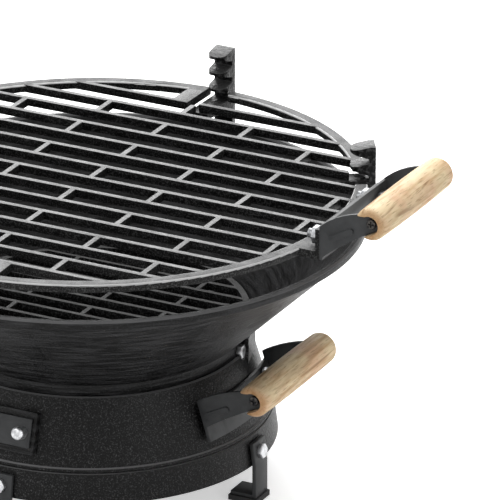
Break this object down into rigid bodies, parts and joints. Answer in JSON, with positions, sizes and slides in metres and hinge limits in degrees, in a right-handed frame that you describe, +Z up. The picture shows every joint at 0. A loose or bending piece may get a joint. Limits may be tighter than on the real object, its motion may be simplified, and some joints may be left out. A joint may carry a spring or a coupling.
{
  "type": "barrel grill",
  "caption": "Table-top barrel grill: cast bowl on a flared base, cooking grate held by toothed racks, wooden carrying handles, charcoal grate and air vent.",
  "frame": {"origin": "centre of the footprint on the floor", "axes": "+Z up along the bowl's axis, handles along +X and -X, air vent towards -Y"},
  "size_m": [0.4484, 0.3572, 0.2283],
  "materials": {
    "grate_iron": "satin black enamel",
    "cast_iron": "semi-matt black",
    "rack_iron": "rough black",
    "powder_coat": "textured black powder coat",
    "bracket_steel": "satin dark grey",
    "beech": "bare turned beech",
    "zinc_hardware": "bright zinc",
    "dark_screws": "blackened",
    "foot_rubber": "matt"
  },
  "bodies": {
    "base": {"fire_bowl": "cast_iron", "rear_rack": "rack_iron", "right_rack": "rack_iron", "left_rack": "rack_iron", "front_rack": "rack_iron", "rack_bolts": "zinc_hardware", "base_drum": "powder_coat", "base_ring": "powder_coat", "ash_tray": "bracket_steel", "bowl_screws": "zinc_hardware", "foot_screws": "zinc_hardware", "foot_pads": "foot_rubber", "right_foot": "bracket_steel", "left_foot": "bracket_steel", "rear_foot": "bracket_steel", "front_foot": "bracket_steel", "right_base_bracket": "bracket_steel", "left_base_bracket": "bracket_steel", "right_base_grip": "beech", "left_base_grip": "beech", "base_grip_screws": "dark_screws", "base_bracket_bolts": "zinc_hardware", "base_bracket_nuts": "zinc_hardware", "vent_frame": "cast_iron", "shutter_pivot": "zinc_hardware"},
    "cooking_grate": {"cooking_grate": "grate_iron", "right_grate_bracket": "bracket_steel", "left_grate_bracket": "bracket_steel", "right_grate_grip": "beech", "left_grate_grip": "beech", "grate_grip_screws": "dark_screws", "grate_bracket_bolts": "zinc_hardware", "grate_bracket_nuts": "zinc_hardware"},
    "charcoal_grate": {"charcoal_grate": "grate_iron"},
    "air_shutter": {"air_shutter": "bracket_steel", "shutter_knob": "zinc_hardware"}
  },
  "joints": [
    {"name": "grate_lift", "type": "slide", "parent": "base", "child": "cooking_grate", "axis": [0, 0, 1], "range_m": [0, 0.08]},
    {"name": "charcoal_lift", "type": "slide", "parent": "base", "child": "charcoal_grate", "axis": [0, 0, 1], "range_m": [0, 0.06]},
    {"name": "shutter_swing", "type": "hinge", "parent": "base", "child": "air_shutter", "pos_m": [-0.0155, -0.1054, 0.066], "axis": [0, -0.959, 0.2833], "range_deg": [0, 55]}
  ]
}
